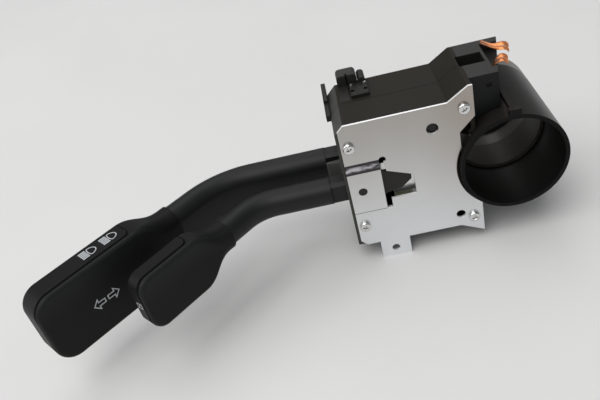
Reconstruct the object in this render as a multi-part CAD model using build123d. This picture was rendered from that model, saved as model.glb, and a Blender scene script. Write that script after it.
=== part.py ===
from build123d import *
from math import atan2, cos, degrees, hypot, radians, sin, sqrt, tan
import os

# Combination stalk switch for a steering column, in millimetres.
# The origin lies on the column axis, in the plane of the mounting plate's front face.
# +Y runs along the column away from the driver, +Z is up and the stalks point to -X.

# Clearances
RUN_GAP = 0.05
SLIDE_GAP = 0.3
SEAT_GAP = 0.2

# Column collar and the lipped sleeve behind it
COLLAR_R = 26.0
COLLAR_WALL = 2.0
COLLAR_FRONT_Y = -3.0
COLLAR_END_Y = 49.4
BORE_STEP = 1.5
BORE_R = COLLAR_R - COLLAR_WALL - BORE_STEP
BORE_STEP_Y = 29.0
GROOVE_WIDTH = 1.2
GROOVE_DEPTH = 1.2
SLEEVE_INSET = 0.1
SLEEVE_R = COLLAR_R - SLEEVE_INSET
SLEEVE_LENGTH = 10.7
RIB_HEIGHT = 1.4
RIB_WIDTH = 2.4
RIB_LENGTH = 23.0
COLLAR_LUG = 3.2

# Mounting plate
PLATE_T = 1.2
PLATE_LEFT = -79.8
PLATE_TOP = 38.2
PLATE_BOTTOM = -34.1
PLATE_RIGHT = -16.4
PLATE_PEAK = 44.6
PLATE_KINK_X = -28.3
PLATE_PEAK_X = -18.4
PLATE_CORNER = 3.0
FOOT_Z = -39.9
FOOT_X = -28.0
NOTCH_TOP = 28.7
NOTCH_X = -24.0
NOTCH_Z = 21.4
PLATE_ARC_GAP = 1.3
TAB_LEFT = -70.2
TAB_RIGHT = -54.9
TAB_BOTTOM = -45.0
TAB_HOLE = (-62.7, -39.8)
TAB_HOLE_R = 2.05
UPPER_HOLE_R = 2.85
LOWER_HOLE = (-27.6, -26.7)
LOWER_HOLE_R = 2.3

# Raised bridge of the plate, which bears the smaller stalk's trunnion
BRIDGE_RIGHT = -63.3
BRIDGE_RISE = 1.5
BRIDGE_TOP = 16.2
BRIDGE_FLAT_TOP = 11.5
BRIDGE_BOTTOM = -12.2
BRIDGE_SLOT = 0.6
RELIEF_X = -61.6
RELIEF_Z = 15.8
RELIEF_R = 1.7
WINDOW_RIGHT = -47.9
WINDOW_LEFT = -60.4
WINDOW_TOP_LEFT = 9.0
WINDOW_TOP_RIGHT = 3.8
WINDOW_BOTTOM = -7.8
BEAK_GAP = 1.2
BEAK_TIP_Z = 0.5
BEAK_CHIN = (5.0, -3.6)
BEAK_BOTTOM = -5.6

# Plate screws
SCREW_XZ = [(-76.0, 26.0), (-76.0, -21.7), (-21.1, 33.9), (-21.1, -29.6)]
SCREW_R = 1.5
SCREW_HEAD_R = 2.9
SCREW_HEAD_H = 1.9
SCREW_LENGTH = 12.0
SCREW_BOSS_R = 3.4

# Case
CASE_LEFT = -81.3
CASE_CORNER = 4.8
CASE_WALL = 2.0
CASE_FLOOR = 1.6
PARTING_Y = 21.0
CASE_END_Y = 42.0
CASE_GAP = 0.2
COVER_T = 2.0
COVER_INSET = 1.5
COVER_SCREWS_XZ = [(-74.0, 31.0), (-74.0, -27.0), (-30.0, 31.0), (-30.0, -27.0)]

# Contact holder over the collar, and its two horn contacts
HOLDER_FRONT_Y = 7.0
HOLDER_TOP = 44.5
HOLDER_END = (-2.9, 7.0)
HOLDER_END_TURN = 14.0
HOLDER_DIMPLE = (-7.4, 38.7)
HOLDER_DIMPLE_R = 1.3
POCKET_X = (-17.5, -5.4)
POCKET_Y = (19.6, 30.0)
POCKET_DEPTH = 7.0
POCKET_LUG_R = 2.6
RECESS_LEFT = -3.9
RECESS_Y = (13.0, 37.5)
RECESS_DEPTH = 4.0
CONTACT_T = 0.8
CONTACT_WIDTH = 7.6
CONTACT_RISE = 1.5
CONTACT_FORK = 1.0
CONTACTS = {"horn_contact_long": (29.2, 5.6), "horn_contact_short": (17.6, 4.8)}

# Connector block, latch clip and side latch on the case
BLOCK_X = (-75.0, -65.0)
BLOCK_Y = (36.0, 44.0)
BLOCK_HEIGHT = 7.0
BLOCK_CORNER = 2.0
BLOCK_SLOT = 0.9
RAMP_WIDTH = 4.8
RAMP_LENGTH = 13.0
RAMP_HEIGHT = 1.0
CLIP_X = (-69.6, -60.4)
CLIP_Y = (24.0, 35.8)
CLIP_HEIGHT = 2.0
CLIP_HOLE_R = 1.1
TOWER_X = (-64.7, -61.0)
TOWER_HEIGHT = 4.6
PIN_T = 0.8
CLIP_PIN_R = 0.8
SIDE_LATCH_T = 2.2
SIDE_LATCH_Z = (30.5, 36.5)
SIDE_LATCH_Y = (18.0, 50.0)
SIDE_LATCH_WIDE_Y = 31.0

# Harness socket on the rear cover
SOCKET_X = (-68.0, -38.0)
SOCKET_Z = (-4.0, 10.0)
SOCKET_DEPTH = 12.0
SOCKET_WALL = 1.5
SOCKET_COLUMNS = 7
SOCKET_ROWS = 2
SOCKET_PITCH = 3.6

# Cancelling pawl, moved by the cam on the steering shaft
PAWL_PIVOT = (-36.4, 26.7)
PAWL_BEARING = -39.0
PAWL_Y = (1.7, 6.2)
PAWL_HUB_R = 5.0
PAWL_WIDTH = 6.4
PAWL_PIN_R = 2.2
PAWL_PIN_DEPTH = 9.0
PAWL_SWING = 6.0

# Both stalks
TUBE_R = 7.0
TUBE_SPIGOT_R = 5.0
TUBE_SPIGOT_L = 8.0
ROOT_W = 9.6
ROOT_H = 12.0
ROOT_CHAMFER = 1.6
ROOT_OUT = 7.6
ROOT_SPIGOT_R = 4.0
ROOT_SPIGOT_L = 9.0
TILT_PIN_R = 1.5
TRUNNION_R = 2.15
YOKE_WALL = 2.2
YOKE_LEFT = 4.2
YOKE_RIGHT = 10.0
YOKE_PLAY = 0.8
DETENT_R = 24.0
DETENT_T = 2.4
DETENT_NOTCH = 0.5
DETENT_GAP = 0.15
PLUNGER_R = 1.8
PLUNGER_X = 7.0
PLUNGER_TRAVEL = 1.2
PLUNGER_LENGTH = 7.0
SPRING_TURNS = 4
SPRING_WIRE_R = 0.25
SPRING_LENGTH = 4.0
ARM_REACH = 24.0
ARM_HEIGHT = 7.0
ARM_T = 2.4
FORK_PIN_R = 1.5
SLIDER_T = 1.8
SLIDER_X = 5.0
SLIDER_HALF_H = 6.0
BOARD_T = 0.8
BOARD_HALF_H = 14.0

# Indicator and main-beam stalk, at the rear
TURN_PIVOT = (-68.0, 29.5, 3.0)
TURN_STRAIGHT_END_X = -129.0
TURN_BEND_R = 45.0
TURN_BEND = 43.5
TURN_RUN = 15.3
TURN_DROP = 10.0
TURN_SWING = 10.0
TURN_TILT = 3.5

# Auxiliary stalk, at the front
AUX_PIVOT = (-73.6, 8.0, -1.0)
AUX_STRAIGHT_END_X = -117.0
AUX_BEND_R = 25.0
AUX_BEND = 45.0
AUX_RUN = 13.4
AUX_DROP = 0.0
AUX_SWING = 8.0
AUX_TILT = 3.0
AUX_TRUNNION_RISE = 1.6

# Paddles: heights are above or below the stalk's centreline
TURN_PADDLE = {
    "length": 81.5, "top": 13.5, "bottom": 25.0, "back": 7.2, "front": 9.2, "neck": 7.8,
    "drop": TURN_DROP, "blade_start": 25.0, "corner": 10.0, "face_depth": 2.4, "crown": 2.3,
}
AUX_PADDLE = {
    "length": 54.0, "top": 14.0, "bottom": 16.0, "back": 5.2, "front": 6.8, "neck": 8.0,
    "drop": AUX_DROP, "blade_start": 21.5, "corner": 7.0, "face_depth": 2.6, "crown": 2.4,
}
NECK_STEPS = 5
NECK_STRAIGHT = 0.22
NECK_ROUND = 0.96
PADDLE_GROOVE = 0.4
CAP_CORNER = 4.0


def prism_y(face, y_start, y_end):
    """Extrude a face drawn in x and z between two depths."""
    return extrude(Plane.XZ.offset(-y_start) * face, amount=y_start - y_end)


def prism_z(face, z_start, z_end):
    """Extrude a face drawn in x and y between two heights."""
    return extrude(Plane.XY.offset(z_start) * face, amount=z_end - z_start)


def round_y(centre, radius, y_start, y_end):
    """Cylinder along Y."""
    return prism_y(Pos(*centre) * Circle(radius), y_start, y_end)


def block(x_range, y_range, z_range):
    """Box between two corners."""
    size = [high - low for low, high in (x_range, y_range, z_range)]
    middle = [(high + low) / 2 for low, high in (x_range, y_range, z_range)]
    return Pos(*middle) * Box(*size)


def polygon(points, radii=0):
    """Closed face through points, with a corner radius each or one for all."""
    if radii == 0:
        return make_face(Polyline(*points, close=True))
    return make_face(FilletPolyline(*points, radius=radii, close=True))


def ring_y(outer, inner, y_start, y_end):
    """Tube round the column axis."""
    return prism_y(Circle(outer) - Circle(inner), y_start, y_end)


def case_outline():
    """Outer line of the case, which follows the plate and stops at the collar."""
    corner = CASE_CORNER
    outline = polygon([
        (CASE_LEFT, PLATE_BOTTOM), (CASE_LEFT, PLATE_TOP - corner), (CASE_LEFT + corner, PLATE_TOP),
        (PLATE_KINK_X, PLATE_TOP), (PLATE_PEAK_X, HOLDER_TOP), (PLATE_RIGHT, HOLDER_TOP),
        (PLATE_RIGHT, PLATE_BOTTOM),
    ])
    return outline - Circle(COLLAR_R + CASE_GAP)


def case_room():
    """Inner line of the case."""
    return offset(case_outline(), -CASE_WALL, kind=Kind.INTERSECTION)


def mounting_plate():
    """Pressed steel plate with a raised, lanced bridge and a window beside it."""
    right = PLATE_RIGHT
    outline = polygon([
        (PLATE_LEFT, PLATE_BOTTOM + PLATE_CORNER), (PLATE_LEFT, PLATE_TOP - PLATE_CORNER),
        (PLATE_LEFT + PLATE_CORNER, PLATE_TOP), (PLATE_KINK_X, PLATE_TOP),
        (PLATE_PEAK_X, PLATE_PEAK), (right, PLATE_PEAK), (right, NOTCH_TOP), (NOTCH_X, NOTCH_Z),
        (NOTCH_X, 0), (right, 0), (right, FOOT_Z), (FOOT_X, PLATE_BOTTOM),
        (TAB_RIGHT, PLATE_BOTTOM), (TAB_RIGHT, TAB_BOTTOM), (TAB_LEFT, TAB_BOTTOM),
        (TAB_LEFT, PLATE_BOTTOM), (PLATE_LEFT + PLATE_CORNER, PLATE_BOTTOM),
    ])
    outline -= Circle(COLLAR_R + PLATE_ARC_GAP)
    lanced = polygon([
        (PLATE_LEFT - 1, BRIDGE_TOP), (RELIEF_X, BRIDGE_TOP), (RELIEF_X + 1, WINDOW_TOP_LEFT),
        (WINDOW_RIGHT, WINDOW_TOP_RIGHT), (WINDOW_RIGHT, WINDOW_BOTTOM),
        (WINDOW_LEFT, WINDOW_BOTTOM), (WINDOW_LEFT, BRIDGE_BOTTOM - BRIDGE_SLOT),
        (PLATE_LEFT - 1, BRIDGE_BOTTOM - BRIDGE_SLOT),
    ])
    outline -= lanced + Pos(RELIEF_X, RELIEF_Z) * Circle(RELIEF_R)
    outline -= Pos(*PAWL_PIVOT) * Circle(UPPER_HOLE_R)
    outline -= Pos(*LOWER_HOLE) * Circle(LOWER_HOLE_R)
    outline -= Pos(*TAB_HOLE) * Circle(TAB_HOLE_R)
    for centre in SCREW_XZ:
        outline -= Pos(*centre) * Circle(SCREW_R + SEAT_GAP)
    plate = prism_y(outline, 0, PLATE_T)
    step = polygon([
        (0, BRIDGE_TOP), (-BRIDGE_RISE, BRIDGE_FLAT_TOP), (-BRIDGE_RISE, BRIDGE_BOTTOM),
        (PLATE_T - BRIDGE_RISE, BRIDGE_BOTTOM), (PLATE_T - BRIDGE_RISE, BRIDGE_FLAT_TOP),
        (PLATE_T, BRIDGE_TOP),
    ])
    length = BRIDGE_RIGHT - PLATE_LEFT
    bridge = extrude(Plane.YZ.offset(PLATE_LEFT) * step, amount=length)
    pivot = aux_trunnion()
    bridge -= round_y(pivot, TRUNNION_R + RUN_GAP, -BRIDGE_RISE - 1, PLATE_T)
    return plate + bridge


def plate_screws():
    """Four pan-head screws that hold the plate to the case."""
    profile = polygon([
        (0, SCREW_HEAD_H), (0, -SCREW_LENGTH), (SCREW_R, -SCREW_LENGTH), (SCREW_R, 0),
        (SCREW_HEAD_R, 0), (SCREW_HEAD_R, SCREW_HEAD_H * 0.45), (SCREW_HEAD_R * 0.6, SCREW_HEAD_H),
    ])
    screw = Rot(X=90) * revolve(Plane.XZ * profile, Axis.Z)
    return Compound(children=[Pos(x, 0, z) * screw for x, z in SCREW_XZ])


def root_opening(pivot, swing, tilt):
    """Opening in the case's left wall for a stalk's root block."""
    reach = pivot[0] - CASE_LEFT
    half_h = ROOT_H / 2 + reach * tan(radians(swing)) + SLIDE_GAP
    half_w = ROOT_W / 2 + reach * tan(radians(tilt)) + SLIDE_GAP
    x_range = (CASE_LEFT - 1, CASE_LEFT + CASE_WALL + 1)
    return block(x_range, (pivot[1] - half_w, pivot[1] + half_w), (pivot[2] - half_h, pivot[2] + half_h))


def front_case():
    """Front tray, open towards the plate; its floor divides the two stalk levels."""
    room = case_room()
    case = prism_y(case_outline(), PLATE_T, PARTING_Y) - prism_y(room, PLATE_T, PARTING_Y - CASE_FLOOR)
    for centre in SCREW_XZ:
        case += prism_y((Pos(*centre) * Circle(SCREW_BOSS_R)) & case_outline(), PLATE_T, PARTING_Y)
    for centre in SCREW_XZ:
        case -= round_y(centre, SCREW_R + RUN_GAP, 0, PLATE_T + SCREW_LENGTH)
    case += round_y(PAWL_PIVOT, PAWL_HUB_R, PAWL_Y[1] + SLIDE_GAP, PARTING_Y)
    case -= round_y(PAWL_PIVOT, PAWL_PIN_R + RUN_GAP, 0, PAWL_Y[1] + PAWL_PIN_DEPTH)
    case -= root_opening(AUX_PIVOT, AUX_SWING, AUX_TILT)
    case -= prism_y(pawl_swept(), PLATE_T - 1, PAWL_Y[1] + SLIDE_GAP)
    case -= round_y((TURN_PIVOT[0], TURN_PIVOT[2]), TRUNNION_R + RUN_GAP, 0, PARTING_Y)
    case -= round_y(aux_trunnion(), TRUNNION_R + RUN_GAP, PLATE_T, PARTING_Y)
    return case - pocket_room()


def rear_case():
    """Rear tray, closed at the back, that holds the main stalk's mechanism."""
    case = prism_y(case_outline(), PARTING_Y, CASE_END_Y)
    case -= prism_y(case_room(), PARTING_Y, CASE_END_Y - CASE_FLOOR)
    case -= root_opening(TURN_PIVOT, TURN_SWING, TURN_TILT)
    case -= round_y((TURN_PIVOT[0], TURN_PIVOT[2]), TRUNNION_R + RUN_GAP, PARTING_Y, CASE_END_Y)
    for centre in COVER_SCREWS_XZ:
        case += round_y(centre, SCREW_BOSS_R, PARTING_Y, CASE_END_Y)
        case -= round_y(centre, SCREW_R, CASE_END_Y - SCREW_LENGTH, CASE_END_Y)
    return case - pocket_room()


def rear_cover():
    """Flat cover behind the rear tray."""
    inset = offset(case_outline(), -COVER_INSET, kind=Kind.INTERSECTION)
    cover = prism_y(inset, CASE_END_Y, CASE_END_Y + COVER_T)
    for centre in COVER_SCREWS_XZ:
        cover -= round_y(centre, SCREW_R + SEAT_GAP, CASE_END_Y, CASE_END_Y + COVER_T)
    for centre in socket_places():
        cover -= block(
            (centre[0] - PIN_T / 2, centre[0] + PIN_T / 2), (CASE_END_Y, CASE_END_Y + COVER_T),
            (centre[1] - PIN_T / 2, centre[1] + PIN_T / 2))
    return cover


def cover_screws():
    """Four screws behind the rear cover."""
    back = CASE_END_Y + COVER_T
    screws = []
    for centre in COVER_SCREWS_XZ:
        shank = round_y(centre, SCREW_R, CASE_END_Y - SCREW_LENGTH + COVER_T, back)
        head = round_y(centre, SCREW_HEAD_R, back, back + SCREW_HEAD_H)
        screws.append(shank + head)
    return Compound(children=screws)


def column_collar():
    """Ring that slides over the steering column, with a shouldered bore."""
    collar = ring_y(COLLAR_R, COLLAR_R - COLLAR_WALL, COLLAR_FRONT_Y, BORE_STEP_Y)
    collar += ring_y(COLLAR_R, BORE_R, BORE_STEP_Y, COLLAR_END_Y)
    rib_root = COLLAR_R - COLLAR_WALL / 2
    collar += block(
        (0, RIB_WIDTH), (COLLAR_FRONT_Y, COLLAR_FRONT_Y + RIB_LENGTH), (rib_root, COLLAR_R + RIB_HEIGHT))
    collar += block(
        (-COLLAR_LUG / 2, RIB_WIDTH + COLLAR_LUG / 2), (COLLAR_FRONT_Y, COLLAR_FRONT_Y + COLLAR_LUG),
        (rib_root, COLLAR_R + RIB_HEIGHT * 2))
    slot = prism_y(pawl_swept(), PAWL_Y[0] - SLIDE_GAP, PAWL_Y[1] + SLIDE_GAP)
    return collar - slot


def rear_sleeve():
    """Sleeve behind the collar, set off by a narrow groove."""
    groove_end = COLLAR_END_Y + GROOVE_WIDTH
    sleeve = ring_y(SLEEVE_R, BORE_R, groove_end, groove_end + SLEEVE_LENGTH)
    return sleeve + ring_y(SLEEVE_R - GROOVE_DEPTH, BORE_R, COLLAR_END_Y, groove_end)


def pocket_room():
    """Open pocket in the holder's top, which reaches into the case's wall."""
    return block(POCKET_X, POCKET_Y, (HOLDER_TOP - POCKET_DEPTH, HOLDER_TOP + 1))


def end_plane(height):
    """Plane at the holder's skewed end: x out of the end, y along it to the rear."""
    angle = radians(HOLDER_END_TURN)
    return Plane(origin=(*HOLDER_END, height), x_dir=(cos(angle), -sin(angle), 0), z_dir=(0, 0, 1))


def contact_holder():
    """Block over the collar that carries the horn contacts, with a skewed right end."""
    reach = HOLDER_END[0] + (CASE_END_Y - HOLDER_FRONT_Y) * tan(radians(HOLDER_END_TURN))
    outline = polygon([(PLATE_RIGHT, 0), (PLATE_RIGHT, HOLDER_TOP), (reach, HOLDER_TOP), (reach, 0)])
    outline -= Circle(COLLAR_R + CASE_GAP)
    outline -= Pos(0, -HOLDER_TOP) * Rectangle(2 * COLLAR_R, 2 * HOLDER_TOP)
    outline -= polygon([(PLATE_RIGHT, 0), (PLATE_RIGHT, COLLAR_R * 0.75), (0, COLLAR_R * 0.75), (0, 0)])
    holder = prism_y(outline, HOLDER_FRONT_Y, CASE_END_Y)
    beyond = Pos(HOLDER_TOP / 2, 0) * Rectangle(HOLDER_TOP, 2 * HOLDER_TOP)
    holder -= extrude(end_plane(0) * beyond, amount=HOLDER_TOP + 1)
    holder -= pocket_room()
    holder -= block((RECESS_LEFT, reach + 1), RECESS_Y, (HOLDER_TOP - RECESS_DEPTH, HOLDER_TOP + 1))
    holder -= round_y(HOLDER_DIMPLE, HOLDER_DIMPLE_R, HOLDER_FRONT_Y, HOLDER_FRONT_Y + HOLDER_DIMPLE_R)
    lug_z = HOLDER_TOP - POCKET_DEPTH
    lug = round_y((sum(POCKET_X) / 2, lug_z), POCKET_LUG_R, POCKET_Y[0], sum(POCKET_Y) / 2)
    return holder + lug


def horn_contact(y_middle, reach):
    """Copper leaf that rises from the holder's recess and ends in two prongs."""
    floor = CONTACT_T / 2
    crest = RECESS_DEPTH + CONTACT_RISE
    along = (y_middle - HOLDER_END[1]) / cos(radians(HOLDER_END_TURN))
    root = RECESS_LEFT - HOLDER_END[0] - along * sin(radians(HOLDER_END_TURN)) + CONTACT_WIDTH * 0.3
    line = FilletPolyline(
        (root, floor), (root + CONTACT_RISE, floor), (root + CONTACT_RISE * 2, crest),
        (reach - CONTACT_RISE, crest), (reach, crest - CONTACT_RISE), radius=CONTACT_T)
    plane = end_plane(HOLDER_TOP - RECESS_DEPTH)
    start = along - CONTACT_WIDTH / 2
    strip = prism_y(trace(line, line_width=CONTACT_T), start, start + CONTACT_WIDTH)
    half = CONTACT_FORK / 2
    strip -= block((reach / 2, reach + 1), (along - half, along + half), (floor, crest + 1))
    return plane.location * strip


def connector_block():
    """Rounded, slotted block on top of the case, at its left rear, with a low ramp in front."""
    left, right = BLOCK_X
    top = PLATE_TOP + BLOCK_HEIGHT
    outline = polygon(
        [(left, PLATE_TOP), (left, top), (right, top), (right, PLATE_TOP)], [0, BLOCK_CORNER, BLOCK_CORNER, 0])
    body = prism_y(outline, *BLOCK_Y)
    middle = (left + right) / 2
    body -= block((middle - BLOCK_SLOT / 2, middle + BLOCK_SLOT / 2),
                  (BLOCK_Y[0], BLOCK_Y[0] + BLOCK_CORNER), (PLATE_TOP + RAMP_HEIGHT, top))
    front = BLOCK_Y[0] - RAMP_LENGTH
    ramp = polygon([(front, PLATE_TOP), (BLOCK_Y[0], PLATE_TOP), (BLOCK_Y[0], PLATE_TOP + RAMP_HEIGHT)])
    return body + extrude(Plane.YZ.offset(left) * ramp, amount=RAMP_WIDTH)


def latch_clip():
    """Low pad beside the ramp with two holes, and a small tower beside the block."""
    top = PLATE_TOP + CLIP_HEIGHT
    body = block(CLIP_X, CLIP_Y, (PLATE_TOP, top))
    body = chamfer(body.edges().group_by(Axis.Z)[-1], CLIP_HEIGHT / 4)
    for x_hole in clip_places():
        body -= prism_z(Pos(x_hole, clip_row(0.35)) * Circle(CLIP_HOLE_R), PLATE_TOP + CLIP_HEIGHT / 4, top)
        body -= prism_z(Pos(x_hole, clip_row(0.8)) * Circle(CLIP_PIN_R), PLATE_TOP + CLIP_HEIGHT / 4, top)
    tower = block(TOWER_X, (CLIP_Y[1] - 1, BLOCK_Y[1]), (PLATE_TOP, PLATE_TOP + TOWER_HEIGHT))
    return body + chamfer(tower.edges().filter_by(Axis.Y).group_by(Axis.Z)[-1], CLIP_HEIGHT / 2)


def clip_places():
    """Two holes share the pad's width evenly."""
    return [CLIP_X[0] + (CLIP_X[1] - CLIP_X[0]) * share for share in (0.15, 0.85)]


def clip_row(share):
    """Place along the pad, from its front edge."""
    return CLIP_Y[0] + (CLIP_Y[1] - CLIP_Y[0]) * share


def clip_pins():
    """Bright metal pin ends in the pad."""
    base = PLATE_TOP + CLIP_HEIGHT / 4
    pins = []
    for x_pin in clip_places():
        pins.append(prism_z(Pos(x_pin, clip_row(0.8)) * Circle(CLIP_PIN_R), base, PLATE_TOP + CLIP_HEIGHT * 1.5))
    return Compound(children=pins)


def side_latch():
    """Flat latch tongue on the left wall, wider at its rear end."""
    x_range = (CASE_LEFT - SIDE_LATCH_T, CASE_LEFT)
    low, high = SIDE_LATCH_Z
    tongue = block(x_range, SIDE_LATCH_Y, (low + 1.5, high - 1.5))
    pad = block(x_range, (SIDE_LATCH_WIDE_Y, SIDE_LATCH_Y[1]), (low, high))
    return tongue + pad


def socket_places():
    """Centres of the harness pins, in x and z."""
    middle_x = sum(SOCKET_X) / 2
    middle_z = sum(SOCKET_Z) / 2
    places = []
    for column in range(SOCKET_COLUMNS):
        for row in range(SOCKET_ROWS):
            x = middle_x + (column - (SOCKET_COLUMNS - 1) / 2) * SOCKET_PITCH
            z = middle_z + (row - (SOCKET_ROWS - 1) / 2) * SOCKET_PITCH
            places.append((x, z))
    return places


def harness_socket():
    """Open shroud behind the cover that takes the vehicle's plug."""
    start = CASE_END_Y + COVER_T
    end = start + SOCKET_DEPTH
    outer = block(SOCKET_X, (start, end), SOCKET_Z)
    inner_x = (SOCKET_X[0] + SOCKET_WALL, SOCKET_X[1] - SOCKET_WALL)
    inner_z = (SOCKET_Z[0] + SOCKET_WALL, SOCKET_Z[1] - SOCKET_WALL)
    shroud = outer - block(inner_x, (start + SOCKET_WALL, end), inner_z)
    key_x = sum(SOCKET_X) / 2
    shroud -= block((key_x - SOCKET_WALL, key_x + SOCKET_WALL), (start + SOCKET_WALL * 2, end),
                    (SOCKET_Z[1] - SOCKET_WALL, SOCKET_Z[1]))
    for x, z in socket_places():
        shroud -= block((x - PIN_T / 2, x + PIN_T / 2), (start, start + SOCKET_WALL),
                        (z - PIN_T / 2, z + PIN_T / 2))
    return shroud


def harness_pins():
    """Tinned pins of the harness socket."""
    end = CASE_END_Y + COVER_T + SOCKET_DEPTH * 0.5
    pins = []
    for x, z in socket_places():
        pins.append(block((x - PIN_T / 2, x + PIN_T / 2), (CASE_END_Y, end), (z - PIN_T / 2, z + PIN_T / 2)))
    return Compound(children=pins)


def pawl_length():
    """Length from the pivot to the nose's end, which stops just short of the collar's mouth."""
    angle = radians(PAWL_BEARING)
    to_column = -(PAWL_PIVOT[0] * cos(angle) + PAWL_PIVOT[1] * sin(angle))
    return to_column - (COLLAR_R - COLLAR_WALL) - SLIDE_GAP


def pawl_outline(widen=0.0):
    """Round hub with a straight nose, in x and z."""
    length = pawl_length()
    nose = Pos(length / 2, 0) * Rectangle(length, PAWL_WIDTH + 2 * widen)
    return Pos(*PAWL_PIVOT) * (Rot(Z=PAWL_BEARING) * nose + Circle(PAWL_HUB_R + widen))


def pawl_swept():
    """Room that the pawl needs over its swing."""
    room = pawl_outline(SLIDE_GAP)
    reach = PAWL_HUB_R + COLLAR_WALL + pawl_length()
    for turn in (-PAWL_SWING, 0, PAWL_SWING):
        nose = Pos(reach / 2, 0) * Rectangle(reach, PAWL_WIDTH + 2 * SLIDE_GAP)
        room += Pos(*PAWL_PIVOT) * Rot(Z=PAWL_BEARING + turn) * nose
    return room


def cancel_pawl():
    """Pawl that the steering shaft's cam knocks to cancel the indicator."""
    outline = pawl_outline() - Pos(*PAWL_PIVOT) * Circle(PAWL_PIN_R + RUN_GAP)
    return prism_y(outline, *PAWL_Y)


def pawl_pin():
    """Pin of the pawl, fixed in its boss on the case."""
    return round_y(PAWL_PIVOT, PAWL_PIN_R, PAWL_Y[0], PAWL_Y[1] + PAWL_PIN_DEPTH)


def aux_trunnion():
    """Place of the smaller stalk's swing axis, in x and z."""
    return (AUX_PIVOT[0], AUX_PIVOT[2] + AUX_TRUNNION_RISE)


def yoke(pivot, swing_axis, y_front, y_back):
    """Gimbal yoke: front and rear walls joined round the stalk's root block."""
    x, y, z = pivot
    inner = ROOT_W / 2 + YOKE_PLAY
    half_h = ROOT_H / 2 + YOKE_PLAY
    outer_h = half_h + YOKE_WALL
    walls = block((x - YOKE_LEFT, x + YOKE_RIGHT), (y - inner - YOKE_WALL, y + inner + YOKE_WALL),
                  (z - outer_h, z + outer_h))
    walls -= block((x - YOKE_LEFT - 1, x + YOKE_RIGHT - YOKE_WALL), (y - inner, y + inner),
                   (z - half_h, z + half_h))
    walls += round_y(swing_axis, TRUNNION_R, y_front, y - inner)
    walls += round_y(swing_axis, TRUNNION_R, y + inner, y_back)
    walls -= prism_z(Pos(x, y) * Circle(TILT_PIN_R + RUN_GAP), z - outer_h, z + outer_h)
    return walls


def plunger_column(pivot):
    """Centre of a detent plunger, in x and y."""
    return pivot[0] + PLUNGER_X, pivot[1]


def plunger_tip_z(pivot, swing_axis):
    """Height of the plunger's tip, on the detent's circle about the swing axis."""
    reach = sqrt(DETENT_R ** 2 - (pivot[0] + PLUNGER_X - swing_axis[0]) ** 2)
    return swing_axis[1] - reach


def carrier(pivot, swing_axis, y_front, y_back, arm_y):
    """Yoke with its plunger tower below and a reaching arm with a fork pin."""
    x, y, z = pivot
    outer_h = ROOT_H / 2 + YOKE_PLAY + YOKE_WALL
    tip = plunger_tip_z(pivot, swing_axis)
    tower_end = tip + PLUNGER_TRAVEL + 1
    centre = plunger_column(pivot)
    tower_r = PLUNGER_R + YOKE_WALL * 0.6
    body = yoke(pivot, swing_axis, y_front, y_back)
    body += prism_z(Pos(*centre) * Circle(tower_r), tower_end, z - outer_h + 0.1)
    body -= prism_z(Pos(*centre) * Circle(PLUNGER_R + RUN_GAP), tower_end, plunger_top(tip) + SPRING_LENGTH)
    arm_end = x + ARM_REACH
    body += block((x + YOKE_RIGHT - 1, arm_end), (arm_y, arm_y + ARM_T), (z - ARM_HEIGHT / 2, z + ARM_HEIGHT / 2))
    pin_x = arm_end - ARM_HEIGHT / 2
    body += round_y((pin_x, z), FORK_PIN_R, arm_y + ARM_T, arm_y + ARM_T + SLIDER_T + SLIDE_GAP)
    return body


def plunger_top(tip):
    """Height of the plunger's inner end, where its spring bears."""
    return tip + PLUNGER_LENGTH


def plunger(pivot, swing_axis):
    """Round-nosed detent plunger."""
    tip = plunger_tip_z(pivot, swing_axis)
    centre = plunger_column(pivot)
    pin = prism_z(Pos(*centre) * Circle(PLUNGER_R), tip, plunger_top(tip))
    return fillet(pin.edges().group_by(Axis.Z)[0], PLUNGER_R * 0.8)


def plunger_spring(pivot, swing_axis):
    """Coil spring between the plunger and the end of its bore."""
    base = plunger_top(plunger_tip_z(pivot, swing_axis))
    x, y = plunger_column(pivot)
    coil_r = PLUNGER_R - SPRING_WIRE_R * 2
    height = SPRING_LENGTH - 2 * SPRING_WIRE_R
    path = Helix(pitch=height / SPRING_TURNS, height=height, radius=coil_r)
    wire = sweep(Plane(origin=path @ 0, z_dir=path % 0) * RegularPolygon(SPRING_WIRE_R, 6), path=path)
    return Pos(x, y, base + SPRING_WIRE_R) * wire


def detent_plate(pivot, swing_axis, swing, wall_y):
    """Arc about the swing axis with a shallow notch for each lever position."""
    inner = DETENT_R + DETENT_GAP
    x_axis, z_axis = swing_axis
    rise = plunger_tip_z(pivot, swing_axis) - z_axis
    rest = 90 + degrees(atan2(rise, pivot[0] + PLUNGER_X - x_axis))
    band = Circle(inner + DETENT_T) - Circle(inner)
    reach = inner + DETENT_T
    spread = swing * 1.6
    wedge = polygon([
        (0, 0), (reach * 2 * sin(radians(-spread)), -reach * 2 * cos(radians(spread))),
        (reach * 2 * sin(radians(spread)), -reach * 2 * cos(radians(spread))),
    ])
    face = Rot(Z=rest) * (band & wedge)
    for turn in (-swing, 0, swing):
        angle = radians(rest + turn - 90)
        notch = Pos(inner * cos(angle), inner * sin(angle)) * Circle(DETENT_NOTCH * 2)
        face -= notch & Circle(inner + DETENT_NOTCH)
    face = Pos(x_axis, z_axis) * face
    half = PLUNGER_R + YOKE_WALL * 0.6
    plate = prism_y(face, pivot[1] - half, wall_y)
    return plate


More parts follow.
